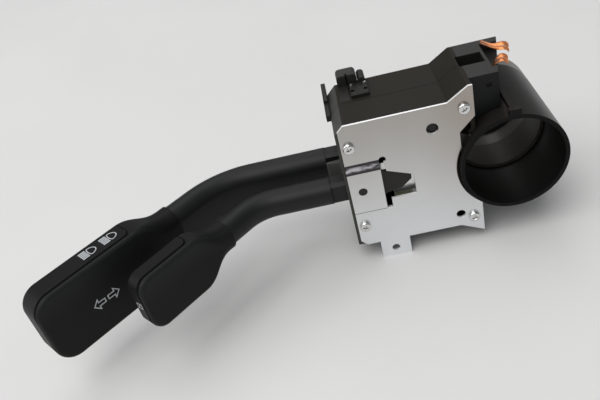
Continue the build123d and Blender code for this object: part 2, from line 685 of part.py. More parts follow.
def slider(pivot, arm_y):
    """Contact slider that the fork pin moves up and down."""
    x = pivot[0] + ARM_REACH - ARM_HEIGHT / 2
    y_start = arm_y + ARM_T + SLIDE_GAP
    body = block((x - SLIDER_X, x + SLIDER_X), (y_start, y_start + SLIDER_T),
                 (pivot[2] - SLIDER_HALF_H, pivot[2] + SLIDER_HALF_H))
    slot = SlotOverall(2 * FORK_PIN_R + 2.4, 2 * (FORK_PIN_R + 0.1))
    return body - prism_y(Pos(x, pivot[2]) * slot, y_start, y_start + SLIDER_T)


def contact_board(pivot, arm_y, wall_y):
    """Board with the fixed contacts, behind the slider."""
    x = pivot[0] + ARM_REACH - ARM_HEIGHT / 2
    return block((x - SLIDER_X - 1, x + SLIDER_X + 1), (wall_y - BOARD_T, wall_y),
                 (pivot[2] - BOARD_HALF_H, pivot[2] + BOARD_HALF_H))


def stalk_root(pivot):
    """Chamfered root block that tilts in the yoke, with a spigot for the tube."""
    x, y, z = pivot
    x_out = CASE_LEFT - ROOT_OUT
    section = chamfer(Rectangle(ROOT_W, ROOT_H).vertices(), ROOT_CHAMFER)
    inner = x + YOKE_RIGHT - YOKE_WALL - YOKE_PLAY * 3
    body = extrude(Plane(origin=(x_out, y, z), x_dir=(0, 1, 0), z_dir=(1, 0, 0)) * section, amount=inner - x_out)
    spigot = Plane(origin=(x_out, y, z), x_dir=(0, 1, 0), z_dir=(-1, 0, 0)) * Circle(ROOT_SPIGOT_R)
    body += extrude(spigot, amount=ROOT_SPIGOT_L)
    height = ROOT_H / 2
    return body - prism_z(Pos(x, y) * Circle(TILT_PIN_R), z - height, z + height)


def tilt_pin(pivot):
    """Vertical pin through the yoke and the stalk's root block."""
    x, y, z = pivot
    half = ROOT_H / 2 + YOKE_PLAY + YOKE_WALL
    return prism_z(Pos(x, y) * Circle(TILT_PIN_R), z - half, z + half)


def bend_end(pivot, straight_end, bend_r, bend):
    """Point where a stalk's bend ends."""
    angle = radians(bend)
    return Vector(straight_end - bend_r * sin(angle), pivot[1] - bend_r * (1 - cos(angle)), pivot[2])


def paddle_plane(pivot, straight_end, bend_r, bend, run):
    """Plane of a paddle: x outwards, y towards the driver, z up."""
    angle = radians(bend)
    outward = Vector(-cos(angle), -sin(angle), 0)
    origin = bend_end(pivot, straight_end, bend_r, bend) + outward * run
    return Plane(origin=origin, x_dir=outward, z_dir=(0, 0, 1))


def arm_section(radius, drop):
    """Round section of an arm, drawn out downwards by its drop."""
    if drop > 0:
        return Pos(0, -drop / 2) * SlotCenterToCenter(drop, radius * 2, rotation=90)
    return Circle(radius)


def stalk_tube(pivot, straight_end, bend_r, bend, run, drop):
    """Bent arm between the root block and the paddle, round on top."""
    angle = radians(bend)
    x_start = CASE_LEFT - ROOT_OUT
    corner = Vector(straight_end - bend_r * tan(angle / 2), pivot[1], pivot[2])
    end = paddle_plane(pivot, straight_end, bend_r, bend, run).origin
    start = Vector(x_start, pivot[1], pivot[2])
    path = FilletPolyline(start, corner, end, radius=bend_r)
    section = Plane(origin=start, x_dir=(0, -1, 0), z_dir=(-1, 0, 0)) * arm_section(TUBE_R, drop)
    tube = sweep(section, path=path)
    socket = Plane(origin=start, z_dir=(-1, 0, 0)) * Circle(ROOT_SPIGOT_R)
    tube -= extrude(socket, amount=ROOT_SPIGOT_L)
    spigot_plane = Plane(origin=end, z_dir=end - bend_end(pivot, straight_end, bend_r, bend))
    return tube + extrude(spigot_plane * Circle(TUBE_SPIGOT_R), amount=TUBE_SPIGOT_L)


def paddle_section(size, share):
    """Cross-section of a paddle, from 0 at its round neck to 1 at its blade."""
    def mix(at_neck, at_blade):
        return at_neck + (at_blade - at_neck) * share

    neck, drop = size["neck"], size["drop"]
    width = mix(neck * 2, size["back"] + size["front"])
    height = mix(neck * 2 + drop, size["top"] + size["bottom"])
    middle_y = mix(0, (size["front"] - size["back"]) / 2)
    middle_z = mix(-drop / 2, (size["top"] - size["bottom"]) / 2)
    return Pos(middle_y, middle_z) * RectangleRounded(width, height, mix(neck * NECK_ROUND, size["crown"]))


def paddle_neck(size):
    """Neck that changes smoothly from the arm's round section to the blade's."""
    sections = []
    for step in range(NECK_STEPS + 1):
        share = step / NECK_STEPS
        plane = Plane(origin=(size["blade_start"] * share, 0, 0), x_dir=(0, 1, 0), z_dir=(1, 0, 0))
        ease = max(share - NECK_STRAIGHT, 0) / (1 - NECK_STRAIGHT)
        sections.append(plane * paddle_section(size, ease ** 2 * (3 - 2 * ease)))
    return loft(sections)


def paddle_blade(size):
    """Flat blade of a paddle, with rounded tip corners and crowned edges."""
    start, length, top, bottom = size["blade_start"], size["length"], size["top"], size["bottom"]
    corner, crown = size["corner"], size["crown"]
    run_in = start - corner
    outline = polygon([(run_in, -bottom), (run_in, top), (length, top), (length, -bottom)], [0, 0, corner, corner])
    blade = prism_y(outline, -size["back"], size["front"])
    blade = fillet(blade.edges().group_by(Axis.Y)[-1], crown)
    blade = fillet(blade.edges().group_by(Axis.Y)[0], crown)
    return blade & block((start, length + 1), (-size["back"] - 1, size["front"] + 1), (-bottom - 1, top + 1))


def cap_room(size, gap):
    """Room of the cap behind a paddle's face, wider by a gap."""
    front = size["front"] - size["face_depth"] + gap
    start = size["blade_start"] - gap
    far = size["length"] + 1
    back = -size["back"] - 1
    plan = polygon([(start, back), (start, front), (far, front), (far, back)], [0, CAP_CORNER, 0, 0])
    return prism_z(plan, -size["bottom"] - 1, size["top"] + 1)


def paddle_face(size, plane):
    """Neck and front face of a paddle in one piece, bored for the tube's spigot."""
    body = paddle_blade(size) - cap_room(size, 0) + paddle_neck(size)
    bore = Plane(origin=(0, 0, 0), z_dir=(1, 0, 0)) * Circle(TUBE_SPIGOT_R)
    return plane.location * (body - extrude(bore, amount=TUBE_SPIGOT_L))


def paddle_cap(size, plane):
    """Rear cap of a paddle, which wraps over its top and tip."""
    return plane.location * (paddle_blade(size) & cap_room(size, -PADDLE_GROOVE))


def aux_actuator():
    """Beak-shaped lever beside the smaller stalk's yoke, seen in the plate's window."""
    x = AUX_PIVOT[0] + YOKE_RIGHT
    tip = WINDOW_RIGHT - BEAK_GAP
    outline = polygon([
        (x, WINDOW_TOP_LEFT), (tip, WINDOW_TOP_RIGHT), (tip, BEAK_TIP_Z),
        (tip - BEAK_CHIN[0], BEAK_CHIN[1]), (x, BEAK_BOTTOM),
    ], [0, BEAK_GAP * 0.6, BEAK_GAP, BEAK_GAP, 0])
    start = PLATE_T + SLIDE_GAP + SEAT_GAP
    return prism_y(outline, start, start + ARM_T - SEAT_GAP)


TURN_AXIS = (TURN_PIVOT[0], TURN_PIVOT[2])
TURN_LINE = (TURN_PIVOT, TURN_STRAIGHT_END_X, TURN_BEND_R, TURN_BEND)
AUX_LINE = (AUX_PIVOT, AUX_STRAIGHT_END_X, AUX_BEND_R, AUX_BEND)
TURN_PLANE = paddle_plane(*TURN_LINE, TURN_RUN)
AUX_PLANE = paddle_plane(*AUX_LINE, AUX_RUN)
TURN_ARM_Y = CASE_END_Y - CASE_FLOOR - BOARD_T - SLIDE_GAP * 2 - SLIDER_T - ARM_T
AUX_ARM_Y = PARTING_Y - CASE_FLOOR - BOARD_T - SLIDE_GAP * 2 - SLIDER_T - ARM_T
AUX_WALL_Y = PARTING_Y - CASE_FLOOR
TURN_WALL_Y = CASE_END_Y - CASE_FLOOR

nodes = {
    "mounting_plate": mounting_plate(),
    "plate_screws": plate_screws(),
    "front_case": front_case(),
    "rear_case": rear_case(),
    "rear_cover": rear_cover(),
    "cover_screws": cover_screws(),
    "column_collar": column_collar(),
    "rear_sleeve": rear_sleeve(),
    "contact_holder": contact_holder(),
    "connector_block": connector_block(),
    "latch_clip": latch_clip(),
    "clip_pins": clip_pins(),
    "side_latch": side_latch(),
    "harness_socket": harness_socket(),
    "harness_pins": harness_pins(),
    "cancel_pawl": cancel_pawl(),
    "pawl_pin": pawl_pin(),
    "turn_carrier": carrier(TURN_PIVOT, TURN_AXIS, PARTING_Y - CASE_FLOOR, CASE_END_Y - SLIDE_GAP, TURN_ARM_Y),
    "turn_tilt_pin": tilt_pin(TURN_PIVOT),
    "turn_root": stalk_root(TURN_PIVOT),
    "turn_tube": stalk_tube(*TURN_LINE, TURN_RUN, TURN_DROP),
    "turn_paddle_face": paddle_face(TURN_PADDLE, TURN_PLANE),
    "turn_paddle_cap": paddle_cap(TURN_PADDLE, TURN_PLANE),
    "turn_plunger": plunger(TURN_PIVOT, TURN_AXIS),
    "turn_plunger_spring": plunger_spring(TURN_PIVOT, TURN_AXIS),
    "turn_detent_plate": detent_plate(TURN_PIVOT, TURN_AXIS, TURN_SWING, TURN_WALL_Y),
    "turn_slider": slider(TURN_PIVOT, TURN_ARM_Y),
    "turn_contact_board": contact_board(TURN_PIVOT, TURN_ARM_Y, TURN_WALL_Y),
    "aux_carrier": carrier(AUX_PIVOT, aux_trunnion(), -BRIDGE_RISE, AUX_WALL_Y + 1, AUX_ARM_Y),
    "aux_actuator": aux_actuator(),
    "aux_tilt_pin": tilt_pin(AUX_PIVOT),
    "aux_root": stalk_root(AUX_PIVOT),
    "aux_tube": stalk_tube(*AUX_LINE, AUX_RUN, AUX_DROP),
    "aux_paddle_face": paddle_face(AUX_PADDLE, AUX_PLANE),
    "aux_paddle_cap": paddle_cap(AUX_PADDLE, AUX_PLANE),
    "aux_plunger": plunger(AUX_PIVOT, aux_trunnion()),
    "aux_plunger_spring": plunger_spring(AUX_PIVOT, aux_trunnion()),
    "aux_detent_plate": detent_plate(AUX_PIVOT, aux_trunnion(), AUX_SWING, AUX_WALL_Y),
    "aux_slider": slider(AUX_PIVOT, AUX_ARM_Y),
    "aux_contact_board": contact_board(AUX_PIVOT, AUX_ARM_Y, AUX_WALL_Y),
}
for name, place in CONTACTS.items():
    nodes[name] = horn_contact(*place)

os.makedirs("parts", exist_ok=True)
for name, shape in nodes.items():
    export_step(shape, f"parts/{name}.step")
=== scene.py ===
from math import cos, radians, sin

import bpy
from mathutils import Matrix, Vector


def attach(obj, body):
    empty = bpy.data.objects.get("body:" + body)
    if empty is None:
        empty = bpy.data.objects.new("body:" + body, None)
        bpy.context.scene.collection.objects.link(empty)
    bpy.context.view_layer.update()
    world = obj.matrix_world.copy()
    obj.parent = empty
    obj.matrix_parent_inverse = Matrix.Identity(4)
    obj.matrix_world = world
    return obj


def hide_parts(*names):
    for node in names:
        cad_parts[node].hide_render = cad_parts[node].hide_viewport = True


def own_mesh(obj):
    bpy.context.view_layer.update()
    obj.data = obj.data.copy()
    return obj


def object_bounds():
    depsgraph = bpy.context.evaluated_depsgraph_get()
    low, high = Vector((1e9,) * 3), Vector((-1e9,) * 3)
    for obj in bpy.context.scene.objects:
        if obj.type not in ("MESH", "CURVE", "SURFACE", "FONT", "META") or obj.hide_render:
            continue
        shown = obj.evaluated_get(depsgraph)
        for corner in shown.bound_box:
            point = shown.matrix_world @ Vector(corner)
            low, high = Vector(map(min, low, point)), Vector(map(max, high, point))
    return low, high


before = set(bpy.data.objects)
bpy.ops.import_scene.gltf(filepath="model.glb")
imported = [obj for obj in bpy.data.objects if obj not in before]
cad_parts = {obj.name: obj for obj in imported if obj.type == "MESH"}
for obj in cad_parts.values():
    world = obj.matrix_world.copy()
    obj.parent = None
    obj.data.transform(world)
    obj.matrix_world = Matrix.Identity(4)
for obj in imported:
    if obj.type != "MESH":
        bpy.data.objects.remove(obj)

cad_box = [list(corner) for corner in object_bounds()]
bpy.ops.object.select_all(action="DESELECT")


# Case: two trays of glass-filled nylon, moulded black, one for each stalk. They meet along
# a parting line that shows as a fine dark seam, and the left side is painted greyer, a
# painted reflection of light from the left.
class Value:
    """A number inside a shader, with Python's own arithmetic."""

    def __init__(self, finish, socket):
        self.finish = finish
        self.socket = socket

    def math(self, operation, *terms):
        node = self.finish.add("ShaderNodeMath", {"operation": operation}, dict(enumerate(terms)))
        return Value(self.finish, node.outputs[0])

    def __add__(self, other):
        return self.math("ADD", self, other)

    def __radd__(self, other):
        return self.math("ADD", other, self)

    def __sub__(self, other):
        return self.math("SUBTRACT", self, other)

    def __rsub__(self, other):
        return self.math("SUBTRACT", other, self)

    def __mul__(self, other):
        return self.math("MULTIPLY", self, other)

    def __rmul__(self, other):
        return self.math("MULTIPLY", other, self)

    def alone(self, operation):
        """Arithmetic on this value only, such as ABSOLUTE or SQRT."""
        return self.math(operation, self)

    def ramp(self, low, high):
        """Smooth step from 0 at low to 1 at high."""
        settings = {"interpolation_type": "SMOOTHSTEP"}
        node = self.finish.add("ShaderNodeMapRange", settings, {0: self, 1: low, 2: high})
        return Value(self.finish, node.outputs[0])

    def band(self, middle, half, soft):
        """1 within half of the middle, fading to 0 over the soft width."""
        return 1.0 - (self - middle).alone("ABSOLUTE").ramp(half, half + soft)


class Finish:
    """A procedural material that reads the object's own coordinates, in metres."""

    MIX_COLOURS = (6, 7)
    MIX_RESULT = 2
    ROUND_SAMPLES = 6

    def __init__(self, name, colour, roughness, metallic=0.0, specular=0.5):
        self.material = bpy.data.materials.new(name)
        self.material.use_nodes = True
        self.nodes = self.material.node_tree.nodes
        self.links = self.material.node_tree.links
        self.shader = self.nodes["Principled BSDF"]
        self.place = self.add("ShaderNodeTexCoord", {}, {}).outputs["Object"]
        self.set("Base Color", (*colour, 1.0))
        self.set("Roughness", roughness)
        self.set("Metallic", metallic)
        self.set("Specular IOR Level", specular)

    def add(self, kind, settings, sockets):
        """New node with its settings, and a value or link for each socket."""
        node = self.nodes.new(kind)
        for name, value in settings.items():
            setattr(node, name, value)
        for name, value in sockets.items():
            self.join(node.inputs[name], value)
        return node

    def join(self, socket, value):
        if isinstance(value, Value):
            value = value.socket
        if isinstance(value, bpy.types.NodeSocket):
            self.links.new(value, socket)
        else:
            socket.default_value = value

    def set(self, name, value):
        self.join(self.shader.inputs[name], value)

    def noise(self, scale, detail=2.0, stretch=(1.0, 1.0, 1.0)):
        """Soft noise about 0.5, with scale in grains per metre."""
        place = self.add("ShaderNodeMapping", {}, {"Vector": self.place, "Scale": stretch})
        sockets = {"Vector": place.outputs[0], "Scale": scale, "Detail": detail}
        return Value(self, self.add("ShaderNodeTexNoise", {}, sockets).outputs[0])

    def axis(self, index):
        """One coordinate of the surface point, in metres."""
        node = self.add("ShaderNodeSeparateXYZ", {}, {0: self.place})
        return Value(self, node.outputs[index])

    def facing_up(self):
        """How far the surface faces up, from -1 to 1."""
        normal = self.add("ShaderNodeTexCoord", {}, {}).outputs["Normal"]
        return Value(self, self.add("ShaderNodeSeparateXYZ", {}, {0: normal}).outputs[2])

    def blend(self, factor, first, second):
        """Colour that goes from first to second with the factor."""
        ends = {0: factor}
        for index, end in zip(self.MIX_COLOURS, (first, second)):
            ends[index] = end if isinstance(end, bpy.types.NodeSocket) else (*end, 1.0)
        return self.add("ShaderNodeMix", {"data_type": "RGBA"}, ends).outputs[self.MIX_RESULT]

    def relief(self, height, depth, edge=0.0):
        """Relief of a depth in metres, over edges that look rounded to a radius."""
        sockets = {"Height": height, "Distance": depth, "Strength": 1.0}
        if edge:
            rounded = self.add("ShaderNodeBevel", {"samples": self.ROUND_SAMPLES}, {"Radius": edge})
            sockets["Normal"] = rounded.outputs[0]
        self.set("Normal", self.add("ShaderNodeBump", {}, sockets).outputs[0])

    def wear(self, *names):
        """Give this finish to CAD nodes."""
        for name in names:
            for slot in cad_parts[name].material_slots:
                slot.material = self.material


PARTING_Y = 0.021
LEFT_SIDE_X = -0.077
LEFT_PAINTED_LIGHT = (0.056, 0.057, 0.051)
SEAM_BLACK = (0.003, 0.003, 0.003)
case_nylon = Finish("case_nylon", (0.014, 0.013, 0.012), 0.5, specular=0.14)
case_cloud = case_nylon.noise(55.0, 3.0)
case_seam = case_nylon.axis(1).band(PARTING_Y, 0.00008, 0.00012)
case_colour = case_nylon.blend(case_cloud, (0.0112, 0.0094, 0.0064), (0.0195, 0.0165, 0.0112))
# Painted reflection: the case's left side is painted greyer, as if lit from the left.
case_left_painted_light = 1.0 - case_nylon.axis(0).ramp(LEFT_SIDE_X, LEFT_SIDE_X + 0.0006)
case_colour = case_nylon.blend(case_left_painted_light, case_colour, LEFT_PAINTED_LIGHT)
case_nylon.set("Base Color", case_nylon.blend(case_seam, case_colour, SEAM_BLACK))
case_nylon.set("Roughness", 0.44 + 0.14 * case_cloud)
case_nylon.relief(case_nylon.noise(2400.0, 2.0) * 0.4 - case_seam * 6.0, 0.00003, edge=0.0004)
case_nylon.wear("front_case", "rear_case", "rear_cover")

# Mounting plate: pressed steel sheet, plated bright with zinc. It is screwed over the front
# of the case, and keeps the faint grain of the rolled sheet and a cloudy passivation. It is
# painted darker towards its top as painted shade, and warmer and browner towards the upper
# right corner. The slope up to its raised bridge is painted dark with a streaked painted
# highlight, a painted reflection; a painted shadow runs along the bridge's foot, and its
# upward-facing edges are painted white as a painted highlight.
PLATE_FOOT_Z = -0.045
PLATE_HEAD_Z = 0.042
WARM_CORNER_X = (-0.05, -0.014)
BRIDGE_RIGHT_X = (-0.0622, -0.0616)
BRIDGE_FOOT_Z = -0.0121
SLOPE_MIDDLE_Z = 0.01385
SLOPE_HALF = 0.0023
WARM_BROWN = (0.37, 0.31, 0.265)
BRIDGE_SHADOW_GREY = (0.2, 0.2, 0.2)
EDGE_HIGHLIGHT_WHITE = (0.95, 0.95, 0.95)
zinc = Finish("bright_zinc", (0.6, 0.6, 0.6), 0.3, metallic=1.0)
zinc_cloud = zinc.noise(45.0, 3.0)
zinc_grain = zinc.noise(1100.0, 2.0, stretch=(0.05, 1.0, 1.0))
zinc_scuff = zinc.noise(300.0, 4.0, stretch=(0.3, 1.0, 1.2)).ramp(0.6, 0.75)
zinc_height_shade = zinc.axis(2).ramp(PLATE_FOOT_Z, PLATE_HEAD_Z)
zinc_corner = zinc.axis(0).ramp(*WARM_CORNER_X) * zinc_height_shade
zinc_left = 1.0 - zinc.axis(0).ramp(*BRIDGE_RIGHT_X)
# Painted reflection: the slope up to the bridge is painted dark, with a streaked painted highlight
# along its middle.
slope_painted_reflection = zinc.axis(2).band(SLOPE_MIDDLE_Z, SLOPE_HALF, 0.0002) * zinc_left
slope_highlight_streak = zinc.noise(300.0, 3.0, stretch=(0.6, 1.0, 1.6)).ramp(0.36, 0.62)
slope_painted_highlight = zinc.axis(2).band(SLOPE_MIDDLE_Z, 0.0005, 0.0011) * slope_highlight_streak
# Painted shadow: a dark line along the foot of the raised bridge.
bridge_foot_shadow = zinc.axis(2).band(BRIDGE_FOOT_Z, 0.00018, 0.00015) * zinc_left
# Painted shade: the plate goes from a lighter foot to a darker, warmer top.
zinc_lit_foot = zinc.blend(zinc_cloud, (0.82, 0.84, 0.86), (0.9, 0.92, 0.94))
zinc_shaded_top = zinc.blend(zinc_cloud, (0.42, 0.405, 0.38), (0.5, 0.485, 0.46))
zinc_colour = zinc.blend(zinc_height_shade, zinc_lit_foot, zinc_shaded_top)
zinc_colour = zinc.blend(zinc_corner * 0.6, zinc_colour, WARM_BROWN)
slope_reflection_colour = zinc.blend(slope_painted_highlight, (0.08, 0.075, 0.08), (0.8, 0.77, 0.82))
zinc_colour = zinc.blend(slope_painted_reflection, zinc_colour, slope_reflection_colour)
zinc_colour = zinc.blend(bridge_foot_shadow, zinc_colour, BRIDGE_SHADOW_GREY)
# Painted highlight: faces that point up are painted white and less metallic.
upper_edge_highlight = zinc.facing_up().ramp(0.5, 0.7)
zinc.set("Base Color", zinc.blend(upper_edge_highlight, zinc_colour, EDGE_HIGHLIGHT_WHITE))
zinc.set("Metallic", 1.0 - 0.6 * upper_edge_highlight)
zinc.set("Roughness", 0.22 + 0.1 * zinc_cloud + 0.06 * zinc_grain + 0.08 * zinc_scuff)
zinc.relief(zinc_grain + zinc_scuff * 0.5, 0.000008, edge=0.00025)
zinc.wear("mounting_plate")

# Plate screws: four pan-head steel screws with a cross recess, zinc plated, driven into the
# case's corner bosses. The heads stand just proud of the plate.
SCREW_PLACES = [(-0.076, 0.026), (-0.076, -0.0217), (-0.0211, 0.0339), (-0.0211, -0.0296)]
SCREW_TURNS = [20.0, -14.0, 33.0, 8.0]
HEAD_RADIUS = 0.0029
HEAD_HEIGHT = 0.0019
SHANK_RADIUS = 0.0015
SHANK_LENGTH = 0.012
RECESS_REACH = 0.004
RECESS_WIDTH = 0.0009
RECESS_DEPTH = 0.0011
RECESS_TAPER = 0.4
HEAD_CROWN = 0.55
POINT_INSET = 0.4
POINT_LENGTH = 0.6


def select_faces(obj, test):
    """Select in edit mode the faces whose centre and normal pass a test."""
    bpy.ops.object.mode_set(mode="EDIT")
    bpy.ops.mesh.select_mode(type="FACE")
    bpy.ops.mesh.select_all(action="DESELECT")
    bpy.ops.object.mode_set(mode="OBJECT")
    for face in obj.data.polygons:
        face.select = test(face.center, face.normal)
    bpy.ops.object.mode_set(mode="EDIT")


def apply_all(obj):
    """Apply every modifier of the active object."""
    for modifier in list(obj.modifiers):
        bpy.ops.object.modifier_apply(modifier=modifier.name)


def settle(obj, name, matrix, finish, body):
    """Put a finished mesh in place, with its material, and let it ride on its body."""
    bpy.ops.object.mode_set(mode="OBJECT")
    obj.data.transform(matrix @ obj.matrix_world)
    obj.matrix_world = Matrix.Identity(4)
    obj.name = name
    obj.data.name = name
    obj.data.materials.clear()
    obj.data.materials.append(finish.material)
    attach(obj, body)
    bpy.ops.object.select_all(action="DESELECT")


def cross_screw():
    """Pan-head screw that points down -Z, with a tapered cross recess."""
    bpy.ops.mesh.primitive_cylinder_add(
        vertices=48, radius=HEAD_RADIUS, depth=HEAD_HEIGHT, location=(0, 0, HEAD_HEIGHT / 2))
    screw = bpy.context.object
    screw.data.transform(Matrix.Translation((0, 0, HEAD_HEIGHT / 2)))
    screw.matrix_world = Matrix.Identity(4)
    select_faces(screw, lambda centre, normal: normal.z > 0.9)
    bpy.ops.mesh.bevel(offset=HEAD_HEIGHT * HEAD_CROWN, segments=6, profile=0.5, affect="EDGES")
    select_faces(screw, lambda centre, normal: normal.z < -0.9)
    bpy.ops.mesh.inset(thickness=HEAD_RADIUS - SHANK_RADIUS)
    bpy.ops.mesh.extrude_region_move(TRANSFORM_OT_translate={"value": (0, 0, -SHANK_LENGTH)})
    bpy.ops.mesh.inset(thickness=SHANK_RADIUS * POINT_INSET)
    point = (0, 0, -SHANK_RADIUS * POINT_LENGTH)
    bpy.ops.mesh.extrude_region_move(TRANSFORM_OT_translate={"value": point})
    bpy.ops.object.mode_set(mode="OBJECT")
    cutters = []
    for turn in (0.0, 90.0):
        bpy.ops.mesh.primitive_cube_add(
            size=1.0, location=(0, 0, HEAD_HEIGHT), rotation=(0, 0, radians(turn)))
        cutter = bpy.context.object
        cutter.scale = (RECESS_REACH, RECESS_WIDTH, RECESS_DEPTH * 2)
        bpy.ops.object.transform_apply(location=True, rotation=True, scale=True)
        select_faces(cutter, lambda centre, normal: normal.z < -0.9)
        bpy.ops.transform.resize(value=(RECESS_TAPER, RECESS_TAPER, 1.0))
        bpy.ops.object.mode_set(mode="OBJECT")
        cutters.append(cutter)
    for cutter in cutters:
        bpy.ops.object.select_all(action="DESELECT")
        screw.select_set(True)
        bpy.context.view_layer.objects.active = screw
        cut = screw.modifiers.new("recess", "BOOLEAN")
        cut.object = cutter
        cut.solver = "EXACT"
        apply_all(screw)
        bpy.data.objects.remove(cutter)
    bpy.ops.object.shade_smooth_by_angle(angle=radians(35.0))
    return screw


screw_zinc = Finish("screw_zinc", (0.68, 0.68, 0.67), 0.22, metallic=1.0)
screw_cloud = screw_zinc.noise(700.0, 2.0)
screw_zinc.set("Base Color", screw_zinc.blend(screw_cloud, (0.62, 0.62, 0.6), (0.8, 0.8, 0.8)))
screw_zinc.set("Roughness", 0.16 + 0.12 * screw_cloud)
screw_zinc.relief(screw_cloud, 0.000006)
first_screw = cross_screw()
facing = Matrix.Rotation(radians(90.0), 4, "X")
for index, ((x, z), turn) in enumerate(zip(SCREW_PLACES, SCREW_TURNS), 1):
    screw = first_screw.copy()
    screw.data = first_screw.data.copy()
    bpy.context.collection.objects.link(screw)
    bpy.context.view_layer.objects.active = screw
    place = Matrix.Translation((x, 0, z)) @ facing @ Matrix.Rotation(radians(turn), 4, "Z")
    settle(screw, f"plate_screw_{index}", place, screw_zinc, "housing")
    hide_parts("plate_screws")
bpy.data.objects.remove(first_screw)

# Window leaves: two strips of bright spring steel welded behind the plate. One is folded
# back behind the beak-shaped lever, with a painted olive shadow on its foot under the lever,
# and the flat one closes the slot beside the bridge.
LEAF_FOLD = [
    (-0.0585, 0.0046), (-0.0475, 0.0046), (-0.0475, 0.0012), (-0.047, 0.0012),
    (-0.047, 0.0051), (-0.0585, 0.0051)]
LEAF_HEIGHT = (-0.0116, 0.006)
SLOT_LEAF = [(-0.0632, 0.0012), (-0.0555, 0.0012), (-0.0555, 0.0016), (-0.0632, 0.0016)]
SLOT_LEAF_HEIGHT = (0.0094, 0.0132)
LEAF_SHADOW_TOP_Z = (-0.0086, -0.0078)
LEAF_SHADOW_RIGHT_X = (-0.0503, -0.0486)
EDGE_ROUND = 0.00012


def bevelled(obj, width):
    """Round the sharp edges of the active object and shade it smooth."""
    bevel = obj.modifiers.new("edges", "BEVEL")
    bevel.width = width
    bevel.segments = 2
    bevel.limit_method = "ANGLE"
    bevel.angle_limit = radians(30.0)
    apply_all(obj)
    bpy.ops.object.shade_smooth_by_angle(angle=radians(40.0))


def flat_outline(corners):
    """Filled flat shape with its corners where they belong."""
    bpy.ops.mesh.primitive_circle_add(vertices=len(corners), radius=0.001, fill_type="NGON")
    shape = bpy.context.object
    for vertex, (x, y) in zip(shape.data.vertices, corners):
        vertex.co = (x, y, 0)
    bpy.ops.object.mode_set(mode="EDIT")
    bpy.ops.mesh.select_all(action="SELECT")
    bpy.ops.mesh.normals_make_consistent(inside=False)
    bpy.ops.object.mode_set(mode="OBJECT")
    return shape


def drawn_bar(corners, low, high):
    """Closed bar of a drawn section, from low to high along Z."""
    bar = flat_outline(corners)
    bpy.ops.object.mode_set(mode="EDIT")
    bpy.ops.mesh.select_all(action="SELECT")
    bpy.ops.mesh.extrude_region_move(TRANSFORM_OT_translate={"value": (0, 0, high - low)})
    bpy.ops.mesh.select_all(action="SELECT")
    bpy.ops.mesh.normals_make_consistent(inside=False)
    bpy.ops.object.mode_set(mode="OBJECT")
    bar.data.transform(Matrix.Translation((0, 0, low)))
    return bar


leaf_steel = Finish("leaf_steel", (0.75, 0.76, 0.74), 0.3, metallic=0.9)
leaf_cloud = leaf_steel.noise(260.0, 3.0)
# Painted shadow: the leaf's foot under the lever is painted olive and less metallic.
leaf_shadow_low = 1.0 - leaf_steel.axis(2).ramp(*LEAF_SHADOW_TOP_Z)
leaf_shadow_near = 1.0 - leaf_steel.axis(0).ramp(*LEAF_SHADOW_RIGHT_X)
leaf_foot_shadow = leaf_shadow_low * leaf_shadow_near
leaf_olive_shadow = leaf_steel.blend(leaf_cloud, (0.16, 0.165, 0.1), (0.36, 0.37, 0.25))
leaf_colour = leaf_steel.blend(leaf_cloud, (0.62, 0.64, 0.6), (0.85, 0.86, 0.84))
leaf_steel.set("Base Color", leaf_steel.blend(leaf_foot_shadow, leaf_colour, leaf_olive_shadow))
leaf_steel.set("Roughness", 0.28 + 0.14 * leaf_cloud)
leaf_steel.set("Metallic", 0.9 - 0.8 * leaf_shadow_low)
leaf_steel.relief(leaf_cloud, 0.000006)
for name, section, height in (
        ("window_leaf", LEAF_FOLD, LEAF_HEIGHT), ("slot_leaf", SLOT_LEAF, SLOT_LEAF_HEIGHT)):
    leaf = drawn_bar(section, *height)
    bevelled(leaf, EDGE_ROUND)
    settle(leaf, name, Matrix.Identity(4), leaf_steel, "housing")

# Stalk guard: a thin nylon fin on the case's left wall, between the two stalks' openings.
# It is moulded with the case and flares out where it meets the wall.
GUARD_SECTION = [
    (-0.0812, 0.0158), (-0.0812, 0.0209), (-0.0825, 0.0197), (-0.0882, 0.0194),
    (-0.0888, 0.0188), (-0.0888, 0.018), (-0.0882, 0.0174), (-0.0825, 0.017)]
GUARD_HEIGHT = (-0.0065, 0.0085)
guard = drawn_bar(GUARD_SECTION, *GUARD_HEIGHT)
bevelled(guard, EDGE_ROUND * 3)
settle(guard, "stalk_guard", Matrix.Identity(4), case_nylon, "housing")

# Collar and sleeve: a black nylon ring that slides over the steering column, and behind a
# groove a grey-brown sleeve. Inside, the bores are painted from black at the front to a
# lighter brown past the step, as painted light reaching deep in; the step's face is painted
# lighter too, and the front rim is painted black as painted shade. The sleeve's outside is
# painted a lighter grey, partly its own colour and partly a painted sheen.
RIM_Y = -0.0029
STEP_Y = 0.029
STEP_RADIUS = 0.02325
BORE_RADIUS = 0.0241
SKIN_RADIUS = 0.0255
SLEEVE_BORE_RADIUS = 0.0226
DEEP_BORE_LIGHT_BROWN = (0.04, 0.034, 0.0265)
STEP_LIGHT_BROWN = (0.05, 0.044, 0.037)
RIM_SHADE_BLACK = (0.002, 0.002, 0.002)


def column_distance(finish):
    """Distance of the surface point from the steering column's axis."""
    square = finish.axis(0) * finish.axis(0) + finish.axis(2) * finish.axis(2)
    return square.alone("SQRT")


collar_nylon = Finish("collar_nylon", (0.012, 0.011, 0.01), 0.45, specular=0.16)
collar_cloud = collar_nylon.noise(40.0, 3.0)
collar_rings = collar_nylon.noise(700.0, 2.0, stretch=(0.05, 1.0, 0.05))
collar_radius = column_distance(collar_nylon)
bore_wall = 1.0 - collar_radius.ramp(BORE_RADIUS, BORE_RADIUS + 0.0002)
past_step = collar_nylon.axis(1).ramp(STEP_Y, STEP_Y + 0.001)
